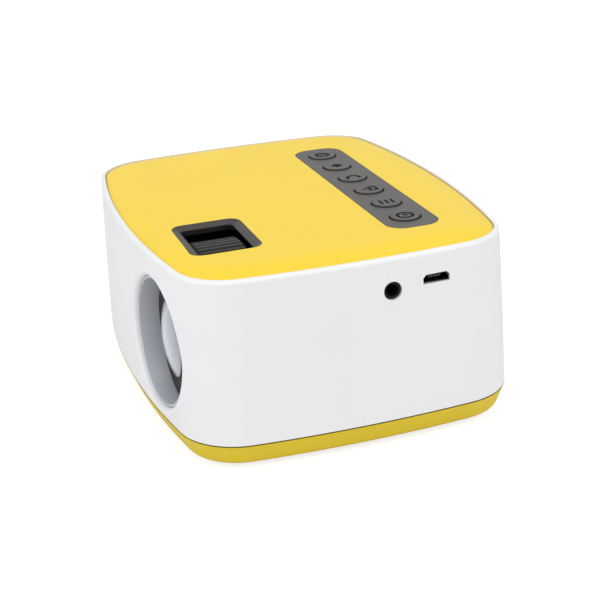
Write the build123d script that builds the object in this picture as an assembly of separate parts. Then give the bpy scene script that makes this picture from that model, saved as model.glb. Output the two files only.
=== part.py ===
from build123d import *
import math
import os

# Small LED projector, in millimetres. +Z is up, the lens looks along -Y, and the
# sound and power sockets are on the +X side. The origin is under the middle of the
# object, on the surface that it stands on.

# Plan outline, taken at the top shoulder: four bulged sides and four round corners
plan_width = 131.5
plan_depth = 101.8
side_bulge = 3.9
front_bulge = 7.2
corner_radius = 16.1

# Heights
foot_height = 1.5
tray_height = 6.4
seam_gap = 0.4
housing_mid_height = 31.0
rim_height = 55.5
panel_seat_drop = 2.5
panel_edge_drop = 0.5

# How far the walls stand outside the plan outline at each height
tray_bottom_flare = 0.0
seam_flare = 2.5
mid_flare = 1.9
rim_flare = 0.94

# Housing
wall = 2.2
rim_round = 1.2
rim_inset = 0.5
ledge_width = 2.5
ledge_thickness = 2.0
post_reach = 10.2
post_radius = 2.5
post_top = 12.5
post_web = 2.0
thread_grip = 0.05
blind_end = 1.5

# Bottom tray
tray_floor = 1.8
tray_wall = 2.0
tray_edge_round = 2.2
tongue_height = 3.0
tongue_thickness = 1.2
tongue_clearance = 0.15
post_clearance = 0.6
boss_radius = 3.8
root_depth = 0.5

# Top panel
panel_gap = 0.25
panel_thickness = 2.0
panel_skirt = 2.6
crown_rise = 1.8
crown_run = 9.5

# Keypad: a strip let into the panel with six round keys in a row
key_count = 6
key_pitch = 14.5
key_row_x = 3.15
key_radius = 4.3
key_proud = 0.5
key_gap = 0.4
key_travel = 0.5
key_dome = 0.18
key_flange_width = 0.9
key_flange_thickness = 0.7
key_stem_radius = 1.6
strip_x = 3.4
strip_from_back = 26.7
strip_length = 91.4
strip_width = 15.9
strip_corner = 5.6
strip_thickness = 1.2
strip_clearance = 0.12

# Focus window in the top panel
window_length = 28.1
window_width = 20.35
window_from_side = 34.7
window_from_front = 21.0
window_corner = 3.7
window_bevel_width = 2.3
window_bevel_depth = 1.05
window_edge = 0.35
window_skirt = 1.0
window_lip = 1.0
window_flange = 0.9
window_clearance = 0.12

# Lens opening, on the lens axis, and the tapered hood behind it
lens_from_side = 32.45
opening_below = 1.5
opening_above = 7.3
opening_round = 1.6
opening_collar = 2.0
opening_collar_depth = 1.7
hood_clearance = 0.15
hood_wall_gap = 0.05
hood_recess = 1.65
hood_rim = 0.4
hood_taper = 1.25
hood_depth = 5.8
hood_flange_width = 3.0

# Focusing lens: barrel, holder tube and ribbed ring on one axis
barrel_gap = 0.8
barrel_wall = 3.3
barrel_recess = 5.4
barrel_back_gap = 1.1
barrel_edge = 0.6
barrel_lip = 1.1
barrel_lip_width = 1.7
front_glass_sag = 2.5
slide_clearance = 0.3
holder_wall = 1.8
focus_ring_drop = 1.6
focus_ring_length = 14.9
focus_ring_chamfer = 1.2
trough_clearance = 0.5
rib_count = 72
rib_depth = 0.7
rib_top_share = 0.44
rib_floor_share = 0.28
focus_turn = 60.0
focus_travel = 2.5
pin_radius = 1.25
pin_count = 3
pin_clearance = 0.3
pin_reach = 1.8
collar_thickness = 2.0
collar_width = 3.3
clip_thickness = 1.2
clip_width = 2.65
clip_groove = 0.6
clip_clearance = 0.05
clip_opening = 8.0
ring_end_clearance = 0.3
element_clearance = 0.08
front_glass_edge = 3.0
front_glass_gap = 0.02
middle_glass_depth = 14.2
middle_glass_edge = 2.0
middle_glass_sag = 1.6
rear_glass_from_back = 7.8
rear_glass_edge = 2.4
rear_glass_sag = 1.4
retainer_thickness = 1.8
spacer_wall = 1.5

# Light engine: a slotted box that carries the flat optics, and the folding mirror
beam_y = 12.0
case_tube_margin = 0.9
case_beyond_lens = 20.7
case_wall = 1.5
cover_thickness = 1.5
mirror_thickness = 1.5
slot_rib = 1.2
slot_rib_depth = 2.6
optic_clearance = 0.15
flange_thickness = 2.4
flange_overhang = 1.4
flange_corner = 3.0
flange_screw_inset_x = 1.0
flange_screw_inset_z = 4.1
flange_boss_radius = 2.0
flange_boss_length = 5.0
led_board_size = 30.0
led_board_thickness = 1.5
led_dome_radius = 7.0
led_dome_height = 3.0
led_base_height = 0.8
led_hole_margin = 4.0
condenser_inset = 4.6
condenser_sag = 5.0
condenser_rim = 2.0
condenser_seat = 1.2
condenser_lip = 1.5
condenser_foot_width = 16.0
glass_thickness = 1.1
fresnel_thickness = 2.0
lcd_thickness = 2.6
condenser_share = 0.13
heat_glass_share = 0.289
rear_fresnel_share = 0.404
lcd_share = 0.52
front_fresnel_share = 0.635
standoff_radius = 3.2
standoff_inset = 6.0
cover_boss_radius = 2.4
cover_boss_length = 8.0
cover_boss_inset = 1.4

# Heatsink and fan
sink_base = 2.5
sink_depth = 13.5
sink_size = 35.0
fin_count = 10
fin_thickness = 1.2
fan_size = 40.0
fan_wall_gap = 4.75
fan_depth = 10.0
fan_corner = 3.0
fan_bore_radius = 18.7
fan_tip_clearance = 0.6
fan_hub_radius = 8.0
fan_hub_start = 0.6
fan_hub_depth = 7.4
fan_hub_round = 1.0
fan_hub_wall = 1.2
fan_shaft_radius = 1.0
fan_shaft_clearance = 0.05
fan_bearing_radius = 3.0
fan_bearing_length = 6.0
fan_bearing_end = 0.8
fan_blade_count = 7
fan_blade_thickness = 1.0
fan_blade_twist = 22.0
fan_blade_pitch = 48.0
fan_motor_plate = 1.5
fan_strut_width = 2.4
fan_screw_spacing = 32.0
fan_screw_radius = 1.4
sink_post_radius = 2.6

# Main board, hung under the top panel
board_thickness = 1.6
board_drop = 7.85
board_fan_gap = 5.0
board_side_gap = 3.75
board_front_y = -10.0
board_back_gap = 14.9
board_tab_back_gap = 4.4
board_tab_x0 = -32.0
board_tab_x1 = 42.0
board_corner = 2.0
board_screw_inset = 5.0
board_boss_radius = 2.8
switch_size = 4.5
switch_height = 1.5
switch_button_radius = 1.2
switch_button_height = 0.25
press_clearance = 0.1

# Sockets, all hung under the main board
jack_y = 9.1
jack_hole_radius = 2.65
jack_nose_radius = 2.4
jack_nose_length = 2.3
jack_recess = 0.7
jack_bore_radius = 1.8
jack_bore_depth = 14.0
jack_end_wall = 1.0
jack_half_height = 2.85
jack_width = 6.4
usb_y = 22.1
usb_slot_width = 8.0
usb_slot_height = 2.7
usb_slot_bevel = 0.9
usb_board_gap = 0.05
usb_recess = 0.45
usb_depth = 5.9
usb_shell = 0.3
usb_clearance = 0.05
usb_floor = 0.6
usb_tongue_width = 3.8
usb_tongue_thickness = 0.7
usb_tongue_recess = 1.0
socket_wall_gap = 0.4
hdmi_x = -8.0
hdmi_width = 14.6
hdmi_height = 5.4
hdmi_bevel = 1.6
hdmi_depth = 11.5
host_usb_x = 13.0
host_usb_width = 13.2
host_usb_height = 5.8
host_usb_depth = 13.0
host_usb_corner = 0.5
port_shell = 0.4
port_floor = 1.0
port_tongue_width = 11.0
port_tongue_recess = 1.5
hdmi_tongue = 1.2
host_usb_tongue = 1.8
port_margin = 0.4
av_jack_x = 31.0
receiver_x = -26.0
receiver_width = 9.0
receiver_height = 5.0
receiver_corner = 1.5
receiver_drop = 9.5
receiver_clearance = 0.08
receiver_recess = 0.3

# Vents
side_vent_count = 10
side_vent_pitch = 4.0
side_vent_width = 2.0
side_vent_height = 26.0
rear_vent_count = 8
rear_vent_height = 20.0
rear_vent_x = -32.0
slot_roundness = 0.98

# Screws, feet, tripod bush and speaker
screw_radius = 1.2
screw_head_radius = 2.4
screw_head_height = 1.8
screw_clearance = 0.25
small_screw_radius = 0.9
small_head_radius = 1.7
small_head_height = 1.2
small_screw_length = 6.0
board_screw_grip = 3.0
fan_screw_grip = 6.0
fan_screw_head_height = 1.5
foot_from_side = 15.75
foot_from_back = 19.9
foot_radius = 4.5
foot_recess = 0.5
foot_chamfer = 0.4
bush_y = -18.0
bush_bore_radius = 3.175
bush_radius = 5.2
bush_length = 8.0
bush_wall = 1.6
bush_roof = 1.2
speaker_from_side = 31.75
speaker_from_front = 22.9
speaker_radius = 13.5
speaker_height = 5.0
speaker_rim = 1.5
speaker_clearance = 0.2
speaker_cone_depth = 1.0
speaker_magnet_radius = 7.4
speaker_basket_radius = 8.1
grille_rings = 3
grille_hole_radius = 0.9
grille_pitch = 3.0

# Heights worked out from the sizes above
tray_z = foot_height
seam_z = tray_z + tray_height
housing_z = seam_z + seam_gap
floor_z = tray_z + tray_floor
panel_seat_height = rim_height - panel_seat_drop
ledge_z = panel_seat_height - ledge_thickness
panel_edge_height = rim_height - panel_edge_drop
panel_top = panel_edge_height + crown_rise
ceiling_z = panel_top - panel_thickness
board_z = panel_top - board_drop
board_top = board_z + board_thickness
key_flange_z = ceiling_z - press_clearance - key_flange_thickness
switch_top = board_top + switch_height + switch_button_height
key_bottom = switch_top + key_travel + press_clearance
jack_z = board_z - jack_half_height
usb_slot_z = board_z - usb_board_gap - usb_slot_height / 2
receiver_z = rim_height - receiver_drop

# The lens: opening, barrel, holder tube and focus ring
lens_x = plan_width / 2 - lens_from_side
opening_radius = (rim_height - opening_above - housing_z - opening_below) / 2
lens_z = housing_z + opening_below + opening_radius
hood_mouth_radius = opening_radius - hood_clearance - hood_rim
hood_throat_radius = hood_mouth_radius - hood_taper
hood_back_y = hood_depth - plan_depth / 2
barrel_radius = hood_throat_radius - barrel_gap
barrel_bore = barrel_radius - barrel_wall
barrel_front_y = barrel_recess - plan_depth / 2
front_glass_radius = barrel_bore - barrel_lip_width
holder_bore = barrel_radius + slide_clearance
holder_radius = holder_bore + holder_wall
ring_bore = holder_radius + slide_clearance
glass_radius = barrel_bore - element_clearance
front_glass_seat_y = barrel_front_y + barrel_lip + front_glass_gap
focus_ring_radius = panel_top - focus_ring_drop - lens_z
window_x = plan_width / 2 - window_from_side
window_y = window_from_front - plan_depth / 2
focus_ring_y = window_y
ring_front_y = focus_ring_y - focus_ring_length / 2
ring_back_y = focus_ring_y + focus_ring_length / 2
focus_lead = focus_travel * 360.0 / focus_turn

# The light engine, from the fan by the -X wall to the mirror behind the lens
fan_x = fan_wall_gap - plan_width / 2
sink_end_x = fan_x + fan_depth + sink_depth
case_start_x = sink_end_x + led_board_thickness
case_end_x = lens_x + case_beyond_lens
case_half_size = holder_radius + case_tube_margin
case_bottom = lens_z - case_half_size
case_top = lens_z + case_half_size
cover_z = case_top - cover_thickness
case_front_y = beam_y - case_half_size
case_back_y = beam_y + case_half_size
beam_length = lens_x - case_start_x
condenser_x = case_start_x + condenser_share * beam_length
condenser_radius = case_half_size - condenser_inset
mirror_length = 2 * case_half_size
flange_screw_x = case_half_size - flange_screw_inset_x
flange_screw_z = case_half_size - flange_screw_inset_z
barrel_back_y = case_front_y - focus_travel - barrel_back_gap
middle_glass_y = barrel_front_y + middle_glass_depth
rear_glass_y = barrel_back_y - rear_glass_from_back

# The board, the keys and what stands on the base
board_x0 = fan_x + fan_depth + board_fan_gap
board_x1 = plan_width / 2 - board_side_gap
board_y1 = plan_depth / 2 - board_back_gap
board_tab_y1 = plan_depth / 2 - board_tab_back_gap
board_screw_x = (board_x0 + board_screw_inset, board_x1 - board_screw_inset)
board_screw_y = (board_front_y + board_screw_inset, board_y1 - board_screw_inset)
strip_y = plan_depth / 2 - strip_from_back
key_xs = [key_row_x + (i - (key_count - 1) / 2) * key_pitch for i in range(key_count)]
foot_x = plan_width / 2 - foot_from_side
foot_y = plan_depth / 2 - foot_from_back
speaker_x = speaker_from_side - plan_width / 2
speaker_y = speaker_from_front - plan_depth / 2


# Helpers

def arc_centres():
    """Centres of the side arc and the front arc, and their radii, in the +X +Y quarter."""
    a = plan_width / 2
    b = plan_depth / 2
    side_radius = (b * b + side_bulge ** 2) / (2 * side_bulge)
    front_radius = (a * a + front_bulge ** 2) / (2 * front_bulge)
    return a - side_radius, b - front_radius, side_radius, front_radius


def corner_centre():
    """Centre of the round corner that is tangent to the side arc and the front arc."""
    p, q, side_radius, front_radius = arc_centres()
    r1 = side_radius - corner_radius
    r2 = front_radius - corner_radius
    d = math.hypot(p, q)
    along = (r1 * r1 - r2 * r2 + d * d) / (2 * d)
    across = math.sqrt(r1 * r1 - along * along)
    ux = -p / d
    uy = q / d
    return p + along * ux - across * uy, along * uy + across * ux


def outline(offset, z=0.0):
    """The plan outline as a face at height z, moved outward by offset."""
    p, q, side_radius, front_radius = arc_centres()
    cx, cy = corner_centre()
    r = corner_radius + offset
    side_angle = math.atan2(cy, cx - p)
    front_angle = math.atan2(cy - q, cx)
    mid_angle = (side_angle + front_angle) / 2
    side_point = (cx + r * math.cos(side_angle), cy + r * math.sin(side_angle))
    mid_point = (cx + r * math.cos(mid_angle), cy + r * math.sin(mid_angle))
    front_point = (cx + r * math.cos(front_angle), cy + r * math.sin(front_angle))
    half_x = plan_width / 2 + offset
    half_y = plan_depth / 2 + offset

    def flip(point, sx, sy):
        return (sx * point[0], sy * point[1])

    edges = []
    for sx, sy in ((1, 1), (-1, 1), (-1, -1), (1, -1)):
        corner = [flip(point, sx, sy) for point in (side_point, mid_point, front_point)]
        edges.append(ThreePointArc(*corner))
    for sx in (1, -1):
        side = flip(side_point, sx, 1), (sx * half_x, 0), flip(side_point, sx, -1)
        edges.append(ThreePointArc(*side))
    for sy in (1, -1):
        front = flip(front_point, 1, sy), (0, sy * half_y), flip(front_point, -1, sy)
        edges.append(ThreePointArc(*front))
    return Pos(0, 0, z) * make_face(Wire(edges))


def flare(z):
    """How far the housing's outer wall stands outside the plan outline at height z."""
    heights = (seam_z, housing_mid_height, rim_height)
    flares = (seam_flare, mid_flare, rim_flare)
    total = 0.0
    for i in range(3):
        term = flares[i]
        for j in range(3):
            if j != i:
                term *= (z - heights[j]) / (heights[i] - heights[j])
        total += term
    return total


def wall_solid(inset, z0, z1):
    """Everything inside the housing's outer wall, moved inward by inset."""
    levels = (z0, (z0 + z1) / 2, z1)
    return loft([outline(flare(z) - inset, z) for z in levels])


def prism(offset, z0, z1):
    """The plan outline extruded from z0 to z1."""
    return extrude(outline(offset, z0), z1 - z0)


def post_places():
    """Where the four case screws go, on the diagonals of the round corners."""
    cx, cy = corner_centre()
    x = cx + post_reach * math.sqrt(0.5)
    y = cy + post_reach * math.sqrt(0.5)
    return [(sx * x, sy * y) for sx in (-1, 1) for sy in (-1, 1)]


def rod(radius, z0, z1, x=0.0, y=0.0):
    """An upright cylinder from z0 to z1."""
    return Pos(x, y, (z0 + z1) / 2) * Cylinder(radius, z1 - z0)


def tube(outer, inner, z0, z1, x=0.0, y=0.0):
    """An upright tube from z0 to z1."""
    return rod(outer, z0, z1, x, y) - rod(inner, z0, z1, x, y)


def block(x0, x1, y0, y1, z0, z1):
    """A box given by its limits."""
    return Pos((x0 + x1) / 2, (y0 + y1) / 2, (z0 + z1) / 2) * Box(x1 - x0, y1 - y0, z1 - z0)


def turned(points):
    """A solid turned about Z from (radius, height) points."""
    return revolve(Plane.XZ * make_face(Polyline(*points, close=True)), Axis.Z)


def along_y(shape, x=lens_x, z=lens_z):
    """Lay a solid drawn on Z along Y: its height becomes the place in Y."""
    return Pos(x, 0, z) * Rot(-90, 0, 0) * shape


def along_x(shape, y, z):
    """Lay a solid drawn on Z along X: its height becomes the place in X."""
    return Pos(0, y, z) * Rot(0, 90, 0) * shape


def screw(radius, head_radius, head_height, length):
    """A pan-head screw that points up from the underside of its head at z = 0."""
    head = rod(head_radius, -head_height, 0)
    head = chamfer(head.edges().group_by(Axis.Z)[0], head_height * 0.4)
    cross = block(-head_radius * 0.6, head_radius * 0.6, -radius * 0.2, radius * 0.2,
                  -head_height, -head_height * 0.5)
    return head - cross - Rot(0, 0, 90) * cross + rod(radius, 0, length)


def group(parts):
    """Separate solids that share one node."""
    return Compound(children=[part for part in parts])


# Housing, panel and tray

def side_face_x(y, z):
    """Where the outer face of the +X wall is, at a place in Y and Z."""
    p, side_radius = arc_centres()[0::2]
    return p + math.sqrt((side_radius + flare(z)) ** 2 - y ** 2)


def front_face_y(x, z):
    """Where the outer face of the front wall is, at a place in X and Z."""
    q, front_radius = arc_centres()[1::2]
    return -q - math.sqrt((front_radius + flare(z)) ** 2 - x ** 2)


def side_socket_cuts():
    """Holes in the +X wall for the sound jack and the power socket."""
    start = plan_width / 2 - 2 * wall
    jack = along_x(rod(jack_hole_radius, start, plan_width), jack_y, jack_z)
    return jack + extrude(Plane.YZ.offset(start) * usb_outline(0.0), plan_width)


def usb_outline(margin):
    """The power socket's mouth, drawn in Y and Z, with bevelled upper corners."""
    w = usb_slot_width / 2 + margin
    h = usb_slot_height / 2 + margin
    points = [(-w, -h), (w, -h), (w, h - usb_slot_bevel), (w - usb_slot_bevel, h),
              (usb_slot_bevel - w, h), (-w, h - usb_slot_bevel)]
    return Pos(usb_y, usb_slot_z) * make_face(Polyline(*points, close=True))


def hdmi_outline(margin):
    """The video socket's mouth, drawn in X and Z, with bevelled lower corners."""
    w = hdmi_width / 2 + margin
    h = hdmi_height / 2 + margin
    points = [(-w, h), (w, h), (w, hdmi_bevel - h), (w - hdmi_bevel, -h),
              (hdmi_bevel - w, -h), (-w, hdmi_bevel - h)]
    return Pos(hdmi_x, board_z - hdmi_height / 2) * make_face(Polyline(*points, close=True))


def host_usb_outline(margin):
    """The memory stick socket's mouth, drawn in X and Z."""
    mouth = RectangleRounded(host_usb_width + 2 * margin, host_usb_height + 2 * margin,
                             host_usb_corner)
    return Pos(host_usb_x, board_z - host_usb_height / 2) * mouth


def receiver_outline(margin):
    """The remote receiver's window, drawn in X and Z."""
    return Pos(receiver_x, receiver_z) * RectangleRounded(
        receiver_width + 2 * margin, receiver_height + 2 * margin, receiver_corner + margin)


def toward_back(face, y0, y1):
    """Extrude a face drawn in X and Z from y0 to y1."""
    return extrude(Plane.XZ.offset(-y0) * face, y0 - y1)


def rear_socket_cuts():
    """Holes in the +Y wall for the video, memory stick and AV sockets and the receiver."""
    y0 = plan_depth / 2 - 3 * wall
    y1 = plan_depth
    cuts = toward_back(hdmi_outline(port_margin), y0, y1)
    cuts += toward_back(host_usb_outline(port_margin), y0, y1)
    cuts += toward_back(receiver_outline(0.0), y0, y1)
    return cuts + along_y(rod(jack_hole_radius, y0, y1), av_jack_x, jack_z)


def vent_cuts():
    """Tall slots beside the fan, and shorter ones in the back wall."""
    slot_end = slot_roundness * side_vent_width / 2
    cuts = []
    for i in range(side_vent_count):
        y = beam_y + (i - (side_vent_count - 1) / 2) * side_vent_pitch
        slot = Pos(y, lens_z) * RectangleRounded(side_vent_width, side_vent_height, slot_end)
        cuts.append(extrude(Plane.YZ.offset(-plan_width) * slot, plan_width / 2 + 2 * wall))
    for i in range(rear_vent_count):
        x = rear_vent_x + (i - (rear_vent_count - 1) / 2) * side_vent_pitch
        slot = Pos(x, lens_z) * RectangleRounded(side_vent_width, rear_vent_height, slot_end)
        cuts.append(toward_back(slot, plan_depth / 2 - 4 * wall, plan_depth))
    return cuts


def on_opening_lip(edge):
    """True for the edges where the lens hole meets the outer face of the front wall."""
    points = [edge @ t for t in (0.0, 0.5, 1.0)]
    radii = [math.hypot(point.X - lens_x, point.Z - lens_z) for point in points]
    middle = points[1]
    on_hole = all(abs(radius - opening_radius) < 0.01 for radius in radii)
    return on_hole and abs(middle.Y - front_face_y(middle.X, middle.Z)) < wall / 4


def turned_to_corner(x, y, shape):
    """Place a shape drawn along X so that it points from the middle through a corner."""
    return Pos(x, y, 0) * Rot(0, 0, math.degrees(math.atan2(y, x))) * shape


def main_housing():
    below = tray_z
    body = wall_solid(0.0, below, rim_height)
    body = fillet(body.edges().group_by(Axis.Z)[-1], rim_round)
    body -= wall_solid(wall, below - 1, ledge_z)
    body -= prism(-rim_inset - ledge_width, ledge_z - 1, panel_seat_height + 1)
    body -= prism(-rim_inset, panel_seat_height, rim_height + 1)
    collar = rod(opening_radius + opening_collar, -plan_depth, opening_collar_depth - plan_depth / 2)
    body += along_y(collar) & wall_solid(wall / 2, below, rim_height)
    body -= along_y(rod(opening_radius, -plan_depth, hood_back_y))
    body = fillet(body.edges().filter_by(on_opening_lip), opening_round)
    body -= block(-plan_width, plan_width, -plan_depth, plan_depth, 0, housing_z)
    body -= side_socket_cuts()
    body -= rear_socket_cuts()
    body -= vent_cuts()
    shell = wall_solid(wall / 2, housing_z, post_top + 1)
    for x, y in post_places():
        post = rod(post_radius, seam_z, post_top, x, y)
        web = turned_to_corner(x, y, block(0, 2 * post_reach, -post_web / 2, post_web / 2,
                                           housing_z + 1, post_top))
        body += post + (web & shell)
    for x, y in post_places():
        body -= rod(screw_radius + thread_grip, seam_z - 1, post_top - blind_end, x, y)
    return body


def tray_tongue():
    """The rim that stands up inside the housing, open at the posts and at the lens."""
    outer = flare(housing_z) - wall - tongue_clearance
    top = seam_z + tongue_height
    tongue = prism(outer, seam_z, top) - prism(outer - tongue_thickness, seam_z, top)
    for x, y in post_places():
        tongue -= rod(post_radius + post_clearance, seam_z, top, x, y)
        tongue -= turned_to_corner(x, y, block(0, 2 * post_reach, -post_web, post_web, seam_z, top))
    notch = opening_radius + 2 * opening_collar
    tongue -= block(lens_x - notch, lens_x + notch, -plan_depth, hood_back_y + opening_collar,
                    seam_z, top)
    return tongue


def tray_holes():
    """What is cut out of the tray: screw holes, grille, foot recesses, ring trough."""
    holes = []
    for x, y in post_places():
        holes.append(rod(screw_radius + screw_clearance, tray_z, seam_z + 1, x, y))
        holes.append(rod(screw_head_radius + screw_clearance, tray_z - 1,
                         tray_z + screw_head_height + foot_recess, x, y))
    holes.append(rod(bush_radius, tray_z - 1, tray_z + bush_length, 0, bush_y))
    for ring in range(grille_rings):
        count = max(1, 6 * ring)
        for i in range(count):
            angle = 2 * math.pi * i / count
            x = speaker_x + ring * grille_pitch * math.cos(angle)
            y = speaker_y + ring * grille_pitch * math.sin(angle)
            holes.append(rod(grille_hole_radius, tray_z - 1, floor_z + 1, x, y))
    for x, y in foot_places():
        holes.append(rod(foot_radius, tray_z - 1, tray_z + foot_recess, x, y))
    holes.append(along_y(rod(focus_ring_radius + trough_clearance, ring_front_y - trough_clearance,
                             ring_back_y + trough_clearance)))
    return holes


def bottom_tray():
    body = loft([outline(tray_bottom_flare, tray_z), outline(seam_flare, seam_z)])
    body = fillet(body.edges().group_by(Axis.Z)[0], tray_edge_round)
    tongue_inner = flare(housing_z) - wall - tongue_clearance - tongue_thickness
    body -= loft([outline(tray_bottom_flare - tray_wall, floor_z), outline(tongue_inner, seam_z)])
    body += tray_tongue()
    root = floor_z - root_depth
    for x, y in post_places():
        body += rod(boss_radius, root, seam_z, x, y)
    for x, y in standoff_places():
        body += rod(standoff_radius, root, case_bottom, x, y)
    body += rod(bush_radius + bush_wall, root, tray_z + bush_length + bush_roof, 0, bush_y)
    body += tube(speaker_radius + speaker_rim, speaker_radius + speaker_clearance, root,
                 floor_z + speaker_height / 2, speaker_x, speaker_y)
    return body - tray_holes()


def top_panel():
    edge = -rim_inset - panel_gap
    body = prism(edge, panel_seat_height, panel_edge_height)
    crown = []
    for share in (0.0, 0.25, 0.6, 1.0):
        height = panel_edge_height + crown_rise * (1 - (1 - share) ** 2)
        crown.append(outline(edge - crown_run * share, height))
    body += loft(crown)
    body -= prism(edge - panel_skirt, panel_seat_height - 1, ceiling_z)
    window = RectangleRounded(window_length + 2 * window_clearance,
                              window_width + 2 * window_clearance, window_corner)
    body -= extrude(Pos(window_x, window_y, panel_seat_height) * window, 2 * panel_thickness)
    recess = RectangleRounded(strip_length + 2 * strip_clearance,
                              strip_width + 2 * strip_clearance, strip_corner)
    body -= extrude(Pos(strip_x, strip_y, panel_top - strip_thickness) * recess, 2 * strip_thickness)
    for x in key_xs:
        body -= rod(key_radius + key_gap, ceiling_z - 1, panel_top, x, strip_y)
    for x in board_screw_x:
        for y in board_screw_y:
            body += rod(board_boss_radius, board_top, ceiling_z + root_depth, x, y)
            body -= rod(small_screw_radius + thread_grip, board_top - 1, ceiling_z, x, y)
    return body


def focus_window_frame():
    """A bevelled frame let into the panel from below, hollow under its thin inner edge."""
    top = panel_top - ceiling_z
    outer = RectangleRounded(window_length, window_width, window_corner)
    inner = RectangleRounded(window_length - 2 * window_bevel_width,
                             window_width - 2 * window_bevel_width,
                             window_corner - window_bevel_width)
    pocket = RectangleRounded(window_length - 2 * window_skirt, window_width - 2 * window_skirt,
                              window_corner - window_skirt)
    flange = RectangleRounded(window_length + 2 * window_flange,
                              window_width + 2 * window_flange, window_corner + window_flange)
    frame = extrude(Pos(0, 0, -window_lip) * outer, window_lip + top)
    frame += extrude(Pos(0, 0, -window_lip) * flange, window_lip - press_clearance)
    frame -= extrude(Pos(0, 0, -window_lip) * inner, window_lip + top)
    frame -= loft([Pos(0, 0, top - window_bevel_depth) * inner, Pos(0, 0, top) * outer])
    frame -= extrude(Pos(0, 0, -window_lip) * pocket,
                     window_lip + top - window_bevel_depth - window_edge)
    return Pos(window_x, window_y, ceiling_z) * frame


def keypad_strip():
    strip = Pos(strip_x, strip_y, panel_top - strip_thickness)
    body = strip * extrude(RectangleRounded(strip_length, strip_width, strip_corner), strip_thickness)
    for x in key_xs:
        body -= rod(key_radius + key_gap, panel_top - strip_thickness, panel_top, x, strip_y)
    return body


def key(x):
    """A round key with a shallow dome, a hidden flange and a stem for its switch."""
    top = panel_top + key_proud
    cap = rod(key_radius, key_flange_z, top)
    cap = fillet(cap.edges().group_by(Axis.Z)[-1], key_dome)
    flange = rod(key_radius + key_flange_width, key_flange_z, key_flange_z + key_flange_thickness)
    stem = rod(key_stem_radius, key_bottom, key_flange_z)
    return Pos(x, strip_y, 0) * (cap + flange + stem)


def lens_hood():
    """A tapered funnel behind the lens opening; its flange follows the front wall."""
    nose_radius = opening_radius - hood_clearance
    mouth_y = -plan_depth / 2
    nose = turned([(hood_throat_radius, hood_back_y), (nose_radius, hood_back_y),
                   (nose_radius, mouth_y), (hood_mouth_radius, mouth_y)])
    cavity = wall_solid(wall + hood_wall_gap, seam_z + tongue_height + hood_clearance,
                        ledge_z - hood_clearance)
    flange = tube(opening_radius + hood_flange_width, nose_radius - hood_rim,
                  opening_collar_depth - plan_depth / 2 + hood_clearance, hood_back_y)
    nose = along_y(nose) & wall_solid(hood_recess, housing_z, panel_seat_height)
    return nose + (along_y(flange) & cavity)


# Focusing lens

def focus_ring():
    """The ribbed wheel, with three helical grooves inside that drive the barrel's pins."""
    points = []
    top = rib_top_share / 2
    low = (1 - rib_floor_share) / 2
    corners = ((-top, 0), (top, 0), (low, rib_depth), (1 - low, rib_depth))
    for i in range(rib_count):
        for share, depth in corners:
            radius = focus_ring_radius - depth
            angle = 2 * math.pi * (i + share) / rib_count
            points.append((radius * math.cos(angle), radius * math.sin(angle)))
    body = extrude(make_face(Polyline(*points, close=True)), focus_ring_length)
    body = Pos(0, 0, ring_front_y) * body
    outer = focus_ring_radius + slide_clearance
    cut = focus_ring_chamfer + slide_clearance
    blank = turned([(ring_bore, ring_front_y), (outer - cut, ring_front_y),
                    (outer, ring_front_y + cut), (outer, ring_back_y - cut),
                    (outer - cut, ring_back_y), (ring_bore, ring_back_y)])
    body = body & blank
    depth = pin_reach + 2 * pin_clearance
    path_radius = ring_bore + depth / 2 - pin_clearance
    overrun = math.degrees((pin_radius + 1.5 * pin_clearance) / path_radius)
    sweep_angle = 2 * (focus_turn + overrun)
    for i in range(pin_count):
        path = Helix(pitch=focus_lead, height=focus_lead * sweep_angle / 360, radius=path_radius)
        section = Plane(origin=path @ 0, x_dir=(1, 0, 0), z_dir=path % 0)
        width = 2 * (pin_radius + pin_clearance)
        groove = sweep(section * Rectangle(depth, width), path=path, is_frenet=True)
        start = 90 + i * 360 / pin_count - sweep_angle / 2
        low = focus_ring_y - focus_lead * sweep_angle / 720
        body -= Pos(0, 0, low) * Rot(0, 0, start) * groove
    return along_y(body)


def flange_screw_places():
    """The four screws that hold the lens tube to the engine box, from the lens axis."""
    return [(x, z) for x in (-flange_screw_x, flange_screw_x)
            for z in (-flange_screw_z, flange_screw_z)]


def lens_holder():
    """The fixed tube that the ring turns on, with straight slots for the pins."""
    front = ring_front_y - ring_end_clearance - 2 * clip_thickness
    collar = ring_back_y + ring_end_clearance
    body = rod(holder_radius, front, case_front_y)
    body += rod(holder_radius + collar_width, collar, collar + collar_thickness)
    flange = Pos(0, 0, case_front_y - flange_thickness) * extrude(
        RectangleRounded(2 * (case_half_size + flange_overhang), 2 * case_half_size, flange_corner),
        flange_thickness)
    body += flange
    body -= rod(holder_bore, front - 1, case_front_y + 1)
    groove = ring_front_y - ring_end_clearance
    body -= tube(holder_radius + 1, holder_radius - clip_groove, groove - clip_thickness, groove)
    width = 2 * (pin_radius + pin_clearance)
    reach = focus_travel + pin_radius + pin_clearance
    for i in range(pin_count):
        slot = block(0, holder_radius + 1, -width / 2, width / 2,
                     focus_ring_y - reach, focus_ring_y + reach)
        body -= Rot(0, 0, 90 + i * 360 / pin_count) * slot
    for x, z in flange_screw_places():
        body -= rod(small_screw_radius + screw_clearance, case_front_y - flange_thickness,
                    case_front_y, x, z)
    return along_y(body)


def ring_clip():
    """The spring clip in the holder's groove that keeps the ring on."""
    groove = ring_front_y - ring_end_clearance
    clip = tube(holder_radius + clip_width, holder_radius - clip_groove + clip_clearance,
                groove - clip_thickness + clip_clearance, groove - clip_clearance)
    gap = block(0, focus_ring_radius, -clip_opening / 2, clip_opening / 2,
                groove - clip_thickness, groove)
    return along_y(clip - Rot(0, 0, -90) * gap)


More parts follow.
